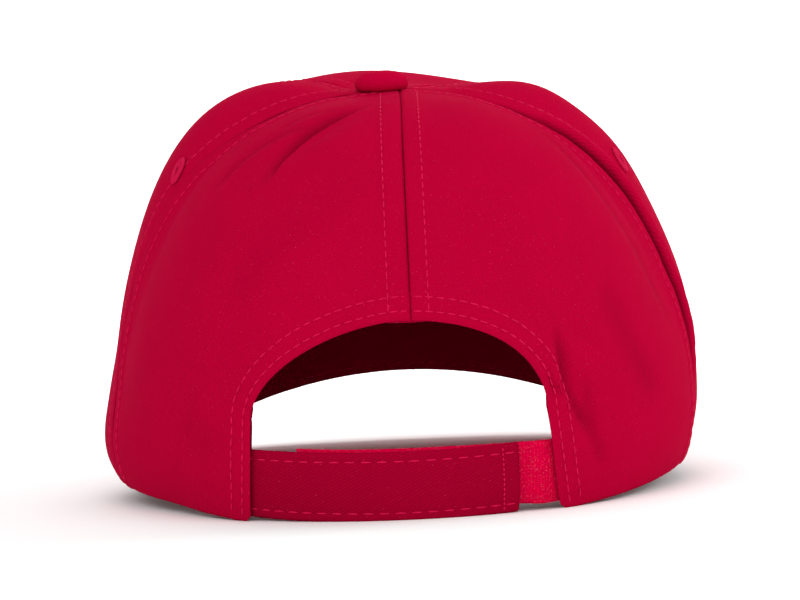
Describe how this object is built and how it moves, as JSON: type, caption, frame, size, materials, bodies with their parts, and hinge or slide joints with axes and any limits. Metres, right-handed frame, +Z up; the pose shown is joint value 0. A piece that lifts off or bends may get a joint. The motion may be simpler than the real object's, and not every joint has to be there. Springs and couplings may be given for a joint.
{
  "type": "five panel cap",
  "caption": "Adult cotton twill cap with a fabric covered button, a curved peak, and an arched back opening closed by a hook-and-loop strap.",
  "frame": {"origin": "on the surface that the cap rests on, under the middle of its bounding box", "axes": "+X towards the wearer's left, +Y towards the back of the cap, +Z up"},
  "size_m": [0.1762, 0.2766, 0.1227],
  "materials": {
    "crown_twill": "matt crimson cotton twill with a fine diagonal rib",
    "peak_twill": "crimson cotton twill over a stiff board, with rows of stitching",
    "band_cloth": "crimson cotton band with two rows of stitching",
    "strap_twill": "crimson twill strap with a clear diagonal rib",
    "brushed_loop": "brighter red brushed loop tape",
    "thread": "shiny crimson embroidery thread"
  },
  "bodies": {
    "root": {"front_panel": "crown_twill", "side_panel_left": "crown_twill", "side_panel_right": "crown_twill", "back_panel_left": "crown_twill", "back_panel_right": "crown_twill", "top_button": "crown_twill", "peak": "peak_twill", "sweatband": "band_cloth", "strap": "strap_twill", "loop_strip": "brushed_loop", "eyelet_left": "thread", "eyelet_right": "thread"}
  },
  "joints": []
}
